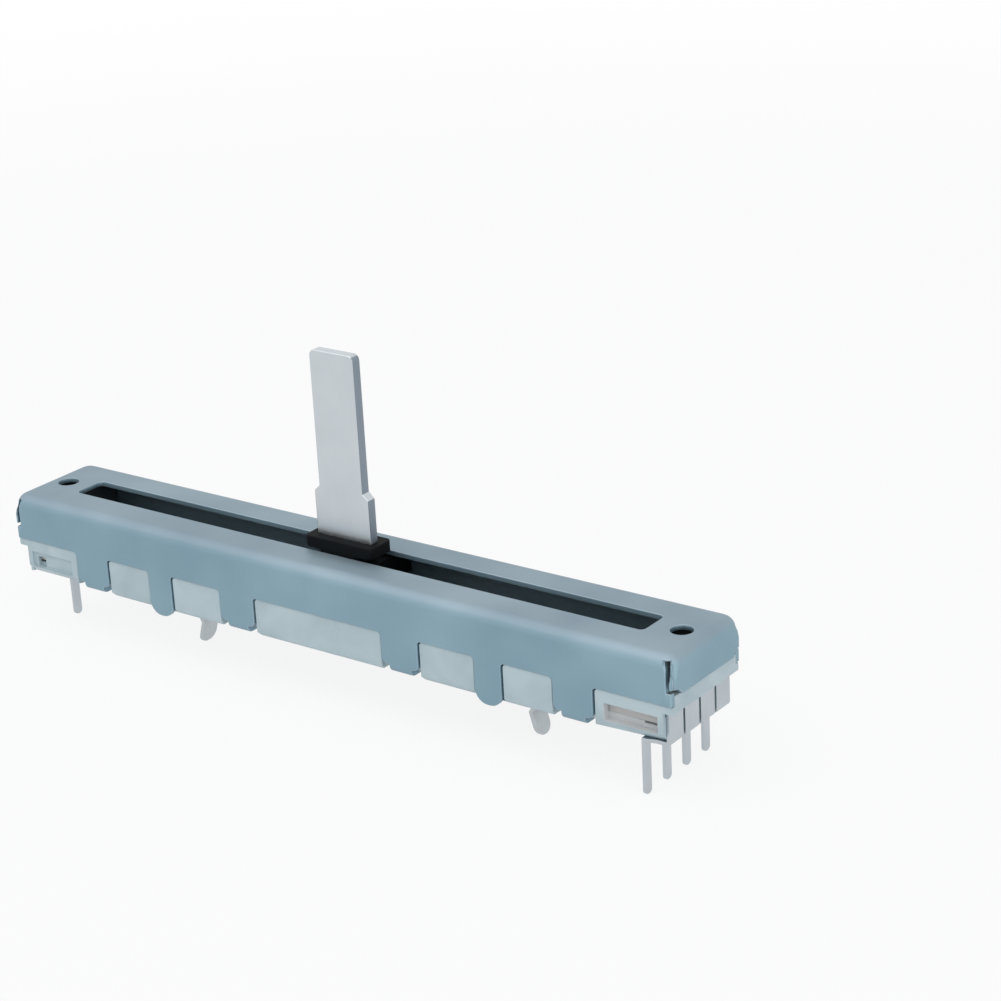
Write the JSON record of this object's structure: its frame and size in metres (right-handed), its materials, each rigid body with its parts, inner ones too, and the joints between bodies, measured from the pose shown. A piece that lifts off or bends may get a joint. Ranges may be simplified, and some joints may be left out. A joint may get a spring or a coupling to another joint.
{
  "type": "slide potentiometer",
  "caption": "Dual-gang slide potentiometer with a folded steel cover, flat lever, moulded base, solder pins and snap-in ground lugs.",
  "frame": {"origin": "middle of the cover's top face, the face that lies against the panel; the lever's rest place is the middle of the travel", "axes": "+X along the travel to the end with four terminals, -Y the near long side, +Z out of the panel face along the lever"},
  "size_m": [0.075, 0.0104, 0.0316],
  "materials": {
    "cover_steel": "bluish zinc plate, satin",
    "base_plastic": "cool off-white moulding",
    "plate_steel": "tin plate, satin",
    "board_phenolic": "red-brown phenolic laminate",
    "resistive_carbon": "printed carbon film",
    "collector_silver": "printed silver film",
    "terminal_metal": "tinned, satin",
    "carrier_plastic": "black moulding",
    "lever_metal": "nickel plate, bright",
    "spring_metal": "spring bronze, silvered"
  },
  "bodies": {
    "body": {"top_cover": "cover_steel", "base_housing": "base_plastic", "bottom_plate": "plate_steel", "element_board": "board_phenolic", "collector_track_a": "collector_silver", "resistive_track_a": "resistive_carbon", "collector_track_b": "collector_silver", "resistive_track_b": "resistive_carbon", "contact_pads": "collector_silver", "terminal_wiper_a": "terminal_metal", "terminal_end_a": "terminal_metal", "terminal_wiper_b": "terminal_metal", "terminal_end_b": "terminal_metal", "terminal_start_a": "terminal_metal", "terminal_start_b": "terminal_metal", "terminal_rivets": "terminal_metal"},
    "slider": {"slider_carrier": "carrier_plastic", "lever": "lever_metal", "wiper_a": "spring_metal", "wiper_b": "spring_metal", "drag_spring": "spring_metal"}
  },
  "joints": [
    {"name": "lever_travel", "type": "slide", "parent": "body", "child": "slider", "axis": [1, 0, 0], "range_m": [-0.03, 0.03]}
  ]
}
